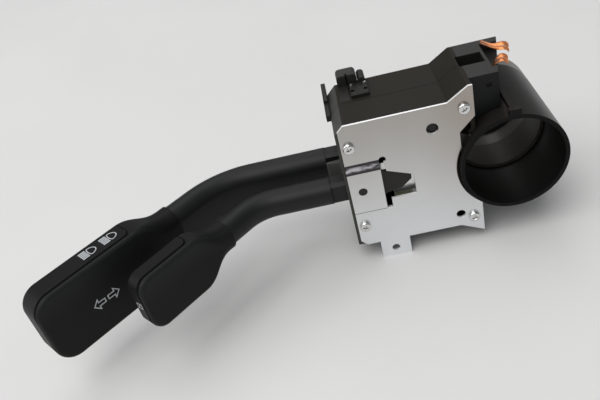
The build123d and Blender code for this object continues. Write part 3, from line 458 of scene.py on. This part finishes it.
# Painted light: the bore is painted from black at the front to a lighter brown past the step, and
# the step's face lighter.
bore_painted_light = collar_nylon.axis(1).ramp(0.0, 0.026) * 0.15 + past_step * 0.85
step_face_light = collar_nylon.axis(1).band(STEP_Y, 0.00006, 0.00004)
step_face_light = step_face_light * collar_radius.band(STEP_RADIUS, 0.0005, 0.00015)
# Painted shade: the front rim is painted black and rougher.
rim_shade = 1.0 - collar_nylon.axis(1).ramp(RIM_Y, RIM_Y + 0.0003)
outer_colour = collar_nylon.blend(collar_cloud, (0.011, 0.01, 0.0088), (0.02, 0.018, 0.016))
bore_colour = collar_nylon.blend(bore_painted_light, (0.0035, 0.0033, 0.0031), DEEP_BORE_LIGHT_BROWN)
bore_colour = collar_nylon.blend(step_face_light, bore_colour, STEP_LIGHT_BROWN)
collar_colour = collar_nylon.blend(bore_wall, outer_colour, bore_colour)
collar_nylon.set("Base Color", collar_nylon.blend(rim_shade, collar_colour, RIM_SHADE_BLACK))
collar_skin = collar_radius.ramp(SKIN_RADIUS, SKIN_RADIUS + 0.0003) * -0.16
collar_grain = 0.12 * collar_cloud + 0.06 * collar_rings
collar_nylon.set("Roughness", 0.38 + collar_grain + 0.12 * rim_shade + collar_skin)
collar_nylon.relief(collar_nylon.noise(2200.0) * 0.6 + collar_rings * 0.5, 0.00002, edge=0.0004)
collar_nylon.wear("column_collar")

sleeve_grey = Finish("sleeve_grey", (0.16, 0.155, 0.145), 0.35, specular=0.35)
sleeve_cloud = sleeve_grey.noise(60.0, 3.0)
# The outside is painted a lighter grey, partly its own colour and partly a painted sheen; the
# inside takes the bore's painted light brown.
sleeve_outside = column_distance(sleeve_grey).ramp(SLEEVE_BORE_RADIUS, SLEEVE_BORE_RADIUS + 0.0009)
sleeve_tone_and_sheen = sleeve_grey.blend(sleeve_cloud, (0.13, 0.125, 0.115), (0.2, 0.195, 0.18))
sleeve_grey.set("Base Color", sleeve_grey.blend(sleeve_outside, DEEP_BORE_LIGHT_BROWN, sleeve_tone_and_sheen))
sleeve_grey.set("Roughness", 0.3 + 0.12 * sleeve_cloud)
sleeve_grey.relief(sleeve_grey.noise(1800.0), 0.00001, edge=0.0003)
sleeve_grey.wear("rear_sleeve")

# Sleeve lip: a soft wiper ring in the far end of the sleeve, which seals on the column. It
# is moulded in black rubber and pressed in.
LIP_SECTION = [
    (0.02255, 0.0594), (0.0208, 0.0605), (0.0206, 0.061), (0.021, 0.06125), (0.02255, 0.06125)]
RING_STEPS = 96


def spun_ring(corners):
    """Closed ring about the Y axis, from a section of radius and y."""
    ring = flat_outline(corners)
    bpy.ops.object.mode_set(mode="EDIT")
    bpy.ops.mesh.select_all(action="SELECT")
    bpy.ops.mesh.delete(type="ONLY_FACE")
    bpy.ops.mesh.select_all(action="SELECT")
    bpy.ops.mesh.spin(steps=RING_STEPS, angle=radians(360.0), center=(0, 0, 0), axis=(0, 1, 0))
    bpy.ops.mesh.select_all(action="SELECT")
    bpy.ops.mesh.remove_doubles(threshold=0.00001)
    bpy.ops.mesh.normals_make_consistent(inside=False)
    bpy.ops.object.mode_set(mode="OBJECT")
    return ring


rubber = Finish("lip_rubber", (0.012, 0.011, 0.01), 0.7, specular=0.2)
rubber_cloud = rubber.noise(300.0, 2.0)
rubber.set("Base Color", rubber.blend(rubber_cloud, (0.01, 0.009, 0.008), (0.02, 0.018, 0.016)))
rubber.set("Roughness", 0.6 + 0.2 * rubber_cloud)
rubber.relief(rubber_cloud, 0.00001)
lip = spun_ring(LIP_SECTION)
bpy.ops.object.shade_smooth_by_angle(angle=radians(35.0))
settle(lip, "sleeve_lip", Matrix.Identity(4), rubber, "housing")

# Contact holder, connector block and latches: black nylon again, moulded apart and clipped to
# the case. The holder's front is painted darker as painted shade, and its top is painted
# greyer as painted light.
HOLDER_FRONT_Y = (0.0071, 0.0076)
HOLDER_TOP_Z = (0.0443, 0.0445)
FRONT_SHADE_BLACK = (0.0045, 0.005, 0.0055)
TOP_LIGHT_GREY = (0.03, 0.029, 0.028)
holder_nylon = Finish("holder_nylon", (0.013, 0.012, 0.012), 0.5, specular=0.25)
holder_cloud = holder_nylon.noise(80.0, 3.0)
# Painted shade on the front and painted light on the top.
holder_front_shade = 1.0 - holder_nylon.axis(1).ramp(*HOLDER_FRONT_Y)
holder_top_light = holder_nylon.axis(2).ramp(*HOLDER_TOP_Z)
holder_colour = holder_nylon.blend(holder_cloud, (0.01, 0.0095, 0.009), (0.018, 0.017, 0.016))
holder_colour = holder_nylon.blend(holder_front_shade, holder_colour, FRONT_SHADE_BLACK)
holder_nylon.set("Base Color", holder_nylon.blend(holder_top_light, holder_colour, TOP_LIGHT_GREY))
holder_nylon.set("Roughness", 0.44 + 0.12 * holder_cloud)
holder_nylon.relief(holder_nylon.noise(2600.0), 0.000015, edge=0.0003)
holder_nylon.wear("contact_holder", "connector_block", "latch_clip", "side_latch", "harness_socket")

# Horn contacts: two sprung copper leaves on the holder's skewed end, each split into two
# prongs at its free end. The tips are rubbed bright, and the roots have tarnished brown.
HOLDER_END = (-0.0029, 0.007, 0.0)
HOLDER_END_TURN = 14.0
LEAF_COLUMNS = (-1.0, -0.55, -0.07, 0.07, 0.55, 1.0)
COLUMN_CROWN = (0.0, 0.0002, 0.0, 0.0, 0.0002, 0.0)
CONTACT_THICKNESS = 0.0008
LONG_STATIONS = [
    (-0.0078, 0.0318, 0.0451, 0.0026), (-0.006, 0.0298, 0.0451, 0.0025),
    (-0.0035, 0.0268, 0.0451, 0.0024), (-0.0012, 0.0245, 0.0452, 0.0028),
    (0.0004, 0.0235, 0.0456, 0.0042), (0.0018, 0.0233, 0.0459, 0.0044),
    (0.0032, 0.0233, 0.046, 0.0044), (0.0046, 0.0233, 0.0455, 0.0044),
    (0.0054, 0.0233, 0.0447, 0.0044), (0.0058, 0.0233, 0.0439, 0.0044)]
SHORT_STATIONS = [
    (-0.0052, 0.0098, 0.0411, 0.002), (-0.0036, 0.0098, 0.0411, 0.002),
    (-0.0026, 0.0099, 0.0422, 0.0021), (-0.0014, 0.0102, 0.044, 0.0024),
    (-0.0002, 0.0109, 0.0453, 0.0037), (0.0012, 0.0112, 0.0459, 0.004),
    (0.0026, 0.0112, 0.046, 0.004), (0.0038, 0.0112, 0.0455, 0.004),
    (0.0046, 0.0112, 0.0447, 0.004), (0.005, 0.0112, 0.0439, 0.004)]
FIRST_SPLIT = 4
SLIT_SHARE = 0.2
TARNISH_X = (-0.002, 0.003)
TARNISH_BROWN = (0.26, 0.12, 0.075)


def placed(origin, across, along, normal):
    """Matrix from a flat drawing to a place on the object."""
    matrix = Matrix((across, along, normal)).transposed().to_4x4()
    matrix.translation = origin
    return matrix


def contact_leaf(stations):
    """Leaf along its stations of (out, along, up, half width), slit down its middle."""
    rows = len(stations) - 1
    columns = len(LEAF_COLUMNS) - 1
    bpy.ops.mesh.primitive_grid_add(x_subdivisions=rows, y_subdivisions=columns, size=1.0)
    leaf = bpy.context.object
    for vertex in leaf.data.vertices:
        row = round((vertex.co.x + 0.5) * rows)
        column = round((vertex.co.y + 0.5) * columns)
        out, along, up, half = stations[row]
        vertex.co = (out, along + half * LEAF_COLUMNS[column], up + COLUMN_CROWN[column])
    slit_start = stations[FIRST_SPLIT][0]
    middle, half = stations[-1][1], stations[-1][3]

    def in_slit(centre, normal):
        return centre.x > slit_start and abs(centre.y - middle) < half * SLIT_SHARE

    select_faces(leaf, in_slit)
    bpy.ops.mesh.delete(type="FACE")
    bpy.ops.object.mode_set(mode="OBJECT")
    sheet = leaf.modifiers.new("sheet", "SOLIDIFY")
    sheet.thickness = CONTACT_THICKNESS
    sheet.offset = -1.0
    rounding = leaf.modifiers.new("rounding", "SUBSURF")
    rounding.levels = 2
    rounding.render_levels = 2
    apply_all(leaf)
    bpy.ops.object.shade_smooth_by_angle(angle=radians(50.0))
    return leaf


copper = Finish("spring_copper", (0.9, 0.4, 0.2), 0.28, metallic=0.85)
copper_tarnish = copper.noise(600.0, 3.0)
copper_root = 1.0 - copper.axis(0).ramp(*TARNISH_X)
copper_bright = copper.blend(copper_tarnish, (0.95, 0.26, 0.07), (1.0, 0.42, 0.16))
copper.set("Base Color", copper.blend(copper_root * 0.85, copper_bright, TARNISH_BROWN))
copper.set("Roughness", 0.18 + 0.2 * copper_tarnish)
copper.relief(copper_tarnish, 0.00002)
end_turn = radians(HOLDER_END_TURN)
end_out = Vector((cos(end_turn), -sin(end_turn), 0))
end_along = Vector((sin(end_turn), cos(end_turn), 0))
end_place = placed(HOLDER_END, end_out, end_along, Vector((0, 0, 1)))
for name, stations in (("long", LONG_STATIONS), ("short", SHORT_STATIONS)):
    leaf = contact_leaf(stations)
    settle(leaf, f"horn_leaf_{name}", end_place, copper, "housing")
    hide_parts(f"horn_contact_{name}")

# Small steel: pin ends of the clip, harness pins, the stalks' tilt pins and the cover's
# screws, all of bright drawn steel, pressed or driven into the plastic.
small_steel = Finish("small_steel", (0.62, 0.62, 0.6), 0.3, metallic=1.0)
steel_cloud = small_steel.noise(900.0, 2.0)
small_steel.set("Base Color", small_steel.blend(steel_cloud, (0.5, 0.5, 0.48), (0.72, 0.72, 0.7)))
small_steel.set("Roughness", 0.2 + 0.2 * steel_cloud)
small_steel.relief(steel_cloud, 0.000006, edge=0.00015)
small_steel.wear("cover_screws", "clip_pins", "harness_pins", "turn_tilt_pin", "aux_tilt_pin")

# Plunger springs: a small coil of spring wire over each detent plunger, held between the
# plunger and its carrier. It rides on the carrier.
SPRING_RADIUS = 0.00128
WIRE_RADIUS = 0.00018
WIRE_SIDES = 10
SPRING_TURNS = 5
STEPS_PER_TURN = 24
SPRINGS = [
    ("turn", (-0.061, 0.0295), (-0.01295, -0.008956)),
    ("aux", (-0.0666, 0.008), (-0.01535, -0.011356))]


def coil_spring(length):
    """Coil of round wire up the Z axis, closed at both ends."""
    bpy.ops.mesh.primitive_circle_add(
        vertices=WIRE_SIDES, radius=WIRE_RADIUS, location=(SPRING_RADIUS, 0, WIRE_RADIUS),
        rotation=(radians(90.0), 0, 0))
    spring = bpy.context.object
    bpy.ops.object.transform_apply(location=True, rotation=True)
    wind = spring.modifiers.new("wind", "SCREW")
    wind.angle = radians(360.0)
    wind.iterations = SPRING_TURNS
    wind.screw_offset = (length - 2 * WIRE_RADIUS) / SPRING_TURNS
    wind.steps = STEPS_PER_TURN
    wind.render_steps = STEPS_PER_TURN
    apply_all(spring)
    bpy.ops.object.mode_set(mode="EDIT")
    bpy.ops.mesh.select_all(action="SELECT")
    bpy.ops.mesh.remove_doubles(threshold=0.000001)
    bpy.ops.mesh.select_all(action="DESELECT")
    bpy.ops.mesh.select_mode(type="EDGE")
    bpy.ops.mesh.select_non_manifold()
    bpy.ops.mesh.fill_holes(sides=0)
    bpy.ops.mesh.select_all(action="SELECT")
    bpy.ops.mesh.normals_make_consistent(inside=False)
    bpy.ops.object.mode_set(mode="OBJECT")
    bpy.ops.object.shade_smooth_by_angle(angle=radians(50.0))
    return spring


for stalk, (x, y), (foot, seat) in SPRINGS:
    coil = coil_spring(seat - foot)
    place = Matrix.Translation((x, y, foot))
    settle(coil, f"{stalk}_coil", place, small_steel, f"{stalk}_carrier")
    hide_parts(f"{stalk}_plunger_spring")
    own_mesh(coil)

# Mechanism: carriers, plungers, sliders, detent plates, the lever behind the window and the
# cancelling pawl with its pin, all in brown-black acetal, self-coloured and slightly waxy.
acetal = Finish("dark_acetal", (0.025, 0.02, 0.016), 0.4, specular=0.3)
acetal_cloud = acetal.noise(120.0, 2.0)
acetal.set("Base Color", acetal.blend(acetal_cloud, (0.01, 0.009, 0.0085), (0.018, 0.0155, 0.014)))
acetal.set("Roughness", 0.28 + 0.14 * acetal_cloud)
acetal.relief(acetal.noise(1800.0), 0.00001, edge=0.0003)
acetal.wear(
    "turn_carrier", "aux_carrier", "aux_actuator", "turn_plunger", "aux_plunger", "turn_slider",
    "aux_slider", "turn_detent_plate", "aux_detent_plate", "cancel_pawl", "pawl_pin")

# Contact boards: brown laminate with its woven glass just showing, one for each slider. Each
# is punched from sheet and held in the case.
board = Finish("contact_laminate", (0.25, 0.16, 0.07), 0.5)
board_weave = board.noise(1500.0, 1.0, stretch=(1.0, 1.0, 0.2))
board.set("Base Color", board.blend(board_weave, (0.19, 0.12, 0.05), (0.32, 0.21, 0.1)))
board.set("Roughness", 0.4 + 0.2 * board_weave)
board.relief(board_weave, 0.00002)
board.wear("turn_contact_board", "aux_contact_board")

# Stalk roots and tubes: black plastic over a steel core, with a fine satin grain that
# spreads the light along the bends.
stalk_satin = Finish("stalk_satin", (0.007, 0.0072, 0.0072), 0.38, specular=0.3)
stalk_cloud = stalk_satin.noise(60.0, 2.0)
stalk_colour = stalk_satin.blend(stalk_cloud, (0.005, 0.0053, 0.0053), (0.009, 0.0093, 0.0093))
stalk_satin.set("Base Color", stalk_colour)
stalk_satin.set("Roughness", 0.42 + 0.1 * stalk_cloud)
stalk_satin.relief(stalk_satin.noise(3200.0, 2.0), 0.000012, edge=0.0002)
stalk_satin.wear("turn_root", "turn_tube", "aux_root", "aux_tube")

# Paddles: each is a neck and face in one moulding, closed by a cap behind a dark groove. They
# are spark-eroded to a fine even grain, duller than the tubes, and painted greyer towards the
# top as a painted sheen.
TURN_BEND = 43.5
AUX_BEND = 45.0
PADDLES = [
    ("turn", TURN_BEND, -0.11615, 0.14494, 0.0165),
    ("aux", AUX_BEND, -0.09191, 0.13005, 0.013)]
SHEEN_DEPTH = 0.016
SHEEN_GREY = (0.0125, 0.0135, 0.0135)
GROOVE_BLACK = (0.0005, 0.0005, 0.0005)


def paddle_axes(bend):
    """Directions of a paddle: outwards, towards the driver, and up."""
    angle = radians(bend)
    outward = Vector((-cos(angle), -sin(angle), 0))
    driver = Vector((sin(angle), -cos(angle), 0))
    return outward, driver, Vector((0, 0, 1))


def level_distance(finish, direction):
    """How far the surface point lies along a level direction."""
    return finish.axis(0) * direction.x + finish.axis(1) * direction.y


for stalk, bend, seam, blade_root, blade_top in PADDLES:
    outward, driver = paddle_axes(bend)[:2]
    paddle_grain = Finish(f"{stalk}_paddle_grain", (0.007, 0.007, 0.007), 0.5, specular=0.18)
    paddle_cloud = paddle_grain.noise(45.0, 2.0)
    nearness = level_distance(paddle_grain, driver)
    reach = level_distance(paddle_grain, outward)
    seam_line = nearness.ramp(seam - 0.0009, seam - 0.0006)
    seam_line = seam_line * (1.0 - nearness.ramp(seam + 0.0007, seam + 0.0011))
    seam_line = seam_line * reach.ramp(blade_root, blade_root + 0.0015)
    # Painted sheen: the face is painted greyer towards its top.
    sheen = paddle_grain.axis(2).ramp(blade_top - SHEEN_DEPTH, blade_top)
    sheen = sheen * nearness.ramp(seam + 0.0009, seam + 0.0014)
    paddle_colour = paddle_grain.blend(
        paddle_cloud, (0.0032, 0.0032, 0.0032), (0.007, 0.0068, 0.0065))
    paddle_colour = paddle_grain.blend(sheen, paddle_colour, SHEEN_GREY)
    paddle_grain.set("Base Color", paddle_grain.blend(seam_line, paddle_colour, GROOVE_BLACK))
    paddle_grain.set("Roughness", 0.46 + 0.1 * paddle_cloud + 0.4 * seam_line)
    paddle_grain.relief(paddle_grain.noise(2600.0, 3.0), 0.00002, edge=0.0002)
    paddle_grain.wear(f"{stalk}_paddle_face", f"{stalk}_paddle_cap")

# Symbols: pad-printed in pale grey ink, two main-beam lamps on the larger paddle's edge and
# two arrows on its face, and a wiper on the smaller paddle's tip. Each is a film of ink.
INK_FILM = 0.00004
INK_SINK = 0.00003
TURN_ORIGIN = Vector((-0.171075, 0.00661, 0.003))
TURN_TOP = 0.0135
TURN_FACE = 0.0092
AUX_ORIGIN = Vector((-0.144153, -0.008798, -0.001))
AUX_TIP = 0.054
AUX_TIP_DROP = 0.001
STROKE = 0.0005
BEAM_PLACES = (0.0326, 0.0443)
BEAM_SHIFT = -0.0004
DOME_LENGTH = 0.0046
DOME_HALF = 0.003
DOME_FRONT = 0.78
DOME_BACK = 0.22
DOME_STEPS = 16
BACK_STEPS = 8
BEAM_MIDDLE = 0.0031
BEAM_LENGTH = 0.0037
BEAM_WIDTH = 0.0009
BEAM_PITCH = 0.00128
ARROW = [
    (-0.0034, 0.0), (-0.0002, -0.0034), (-0.0002, -0.0013), (0.0033, -0.0013),
    (0.0033, 0.0013), (-0.0002, 0.0013), (-0.0002, 0.0034)]
ARROW_PLACES = ((0.04631, 1.0), (0.0542, -1.0))
ARROW_DROP = 0.0072
SCREEN = [(-0.0021, 0.0012), (0.0021, 0.0018), (0.0016, -0.0018), (-0.0016, -0.0018)]
FINE_STROKE = 0.0004
WIPER_LENGTH = 0.0034
WIPER_SLANT = 55.0


def hollow(shape, stroke):
    """Leave only a border of the flat shape."""
    bpy.ops.object.mode_set(mode="EDIT")
    bpy.ops.mesh.select_all(action="SELECT")
    bpy.ops.mesh.inset(thickness=stroke)
    bpy.ops.mesh.delete(type="FACE")
    bpy.ops.object.mode_set(mode="OBJECT")


def inked(parts, name, matrix, body):
    """Join flat parts, give them the ink's thickness and lay them on the surface."""
    bpy.ops.object.select_all(action="DESELECT")
    for part in parts:
        part.select_set(True)
    bpy.context.view_layer.objects.active = parts[0]
    if len(parts) > 1:
        bpy.ops.object.join()
    symbol = bpy.context.object
    film = symbol.modifiers.new("film", "SOLIDIFY")
    film.thickness = INK_FILM + INK_SINK
    film.offset = 1.0
    apply_all(symbol)
    bpy.ops.object.mode_set(mode="EDIT")
    bpy.ops.mesh.select_all(action="SELECT")
    bpy.ops.mesh.normals_make_consistent(inside=False)
    bpy.ops.object.mode_set(mode="OBJECT")
    lowest = min(vertex.co.z for vertex in symbol.data.vertices)
    sunk = Matrix.Translation((0, 0, -lowest - INK_SINK))
    settle(symbol, name, matrix @ sunk, ink, body)


def lamp_outline():
    """Main-beam lamp: a long dome with a gently rounded back."""
    corners = []
    for step in range(DOME_STEPS + 1):
        angle = radians(90.0 - 180.0 * step / DOME_STEPS)
        corners.append((-DOME_LENGTH * DOME_FRONT * cos(angle), DOME_HALF * sin(angle)))
    for step in range(1, BACK_STEPS):
        angle = radians(-90.0 + 180.0 * step / BACK_STEPS)
        corners.append((DOME_LENGTH * DOME_BACK * cos(angle), DOME_HALF * sin(angle)))
    return corners


def bar(centre, length, width):
    """Straight stroke of a symbol."""
    x, y = centre
    return flat_outline([
        (x - length / 2, y - width / 2), (x + length / 2, y - width / 2),
        (x + length / 2, y + width / 2), (x - length / 2, y + width / 2)])


ink = Finish("pale_ink", (0.5, 0.52, 0.54), 0.5)
ink_wear = ink.noise(1800.0, 2.0)
ink.set("Base Color", ink.blend(ink_wear, (0.4, 0.42, 0.44), (0.58, 0.6, 0.62)))
ink.set("Roughness", 0.4 + 0.2 * ink_wear)
ink.relief(ink_wear, 0.000004)

outward, driver, upward = paddle_axes(TURN_BEND)
for index, along in enumerate(BEAM_PLACES, 1):
    dome = flat_outline(lamp_outline())
    hollow(dome, STROKE)
    strokes = [dome]
    for row in range(-2, 3):
        strokes.append(bar((BEAM_MIDDLE, row * BEAM_PITCH), BEAM_LENGTH, BEAM_WIDTH))
    spot = TURN_ORIGIN + outward * along + driver * BEAM_SHIFT + upward * TURN_TOP
    edge = placed(spot, outward, driver, upward)
    inked(strokes, f"beam_symbol_{index}", edge, "turn_stalk")

for index, (along, way) in enumerate(ARROW_PLACES, 1):
    arrow = flat_outline([(x * way, y * way) for x, y in ARROW])
    hollow(arrow, STROKE)
    spot = TURN_ORIGIN + outward * along + driver * TURN_FACE - upward * ARROW_DROP
    front = placed(spot, outward, -upward, driver)
    inked([arrow], f"arrow_symbol_{index}", front, "turn_stalk")

outward, driver, upward = paddle_axes(AUX_BEND)
screen = flat_outline(SCREEN)
hollow(screen, FINE_STROKE)
blade = bar((0.0, 0.0), WIPER_LENGTH, FINE_STROKE)
blade.data.transform(Matrix.Rotation(radians(WIPER_SLANT), 4, "Z"))
tip = placed(
    AUX_ORIGIN + outward * AUX_TIP - upward * AUX_TIP_DROP, driver, upward, outward)
inked([screen, blade], "wiper_symbol", tip, "aux_stalk")

# Studio: a plain pale table under four soft lamps and a dim surround. The camera stands
# above the driver's side, where the photograph was taken.
FLOOR_SIZE = 6.0
SURROUND_COLOUR = (0.95, 0.98, 1.0, 1)
SURROUND_STRENGTH = 0.3
AIM = (-0.08, -0.02, -0.02)
LAMPS = [
    ("key_lamp", (-0.8, -1.3, 2.6), 2.4, 51.0, (1.0, 0.99, 0.98)),
    ("top_lamp", (-0.3, 1.0, 2.6), 2.2, 18.0, (1.0, 1.0, 1.0)),
    ("side_lamp", (-2.3, -0.2, 1.3), 1.6, 17.0, (1.0, 1.0, 1.0)),
    ("back_lamp", (0.1, 2.4, 1.75), 0.9, 3.5, (1.0, 1.0, 1.0))]
CAMERA_PLACE = (-0.073736, -0.271342, 0.198864)
CAMERA_VIEW = Vector((-0.09198, 0.80726, -0.58298)).normalized()
CAMERA_TOP = Vector((0.20999797, 0.58802332, 0.78110782))
FILM_WIDTH = 36.0
FOCAL_LENGTH = 41.03

scene = bpy.context.scene
bpy.ops.mesh.primitive_plane_add(size=FLOOR_SIZE, location=(0, 0, 0))
floor = bpy.context.object
floor.name = "floor"
floor.data.transform(Matrix.Translation((0, 0, cad_box[0][2])))
table = Finish("pale_table", (0.73, 0.72, 0.71), 0.8)
table_cloud = table.noise(6.0, 3.0)
table.set("Base Color", table.blend(table_cloud, (0.7, 0.69, 0.685), (0.76, 0.755, 0.75)))
floor.data.materials.append(table.material)

surround = bpy.data.worlds.new("surround")
scene.world = surround
surround.use_nodes = True
background = surround.node_tree.nodes["Background"]
background.inputs["Color"].default_value = SURROUND_COLOUR
background.inputs["Strength"].default_value = SURROUND_STRENGTH

for name, place, size, power, colour in LAMPS:
    bpy.ops.object.light_add(type="AREA", location=place)
    light = bpy.context.object
    light.name = name
    light.data.size = size
    light.data.energy = power
    light.data.color = colour
    light.rotation_euler = (Vector(AIM) - Vector(place)).to_track_quat("-Z", "Y").to_euler()

bpy.ops.object.camera_add(location=CAMERA_PLACE)
camera = bpy.context.object
across = CAMERA_VIEW.cross(CAMERA_TOP).normalized()
camera.matrix_world = placed(CAMERA_PLACE, across, across.cross(CAMERA_VIEW), -CAMERA_VIEW)
camera.data.sensor_width = FILM_WIDTH
camera.data.lens = FOCAL_LENGTH
camera.data.clip_start = 0.01
scene.camera = camera
scene.view_settings.view_transform = "Standard"
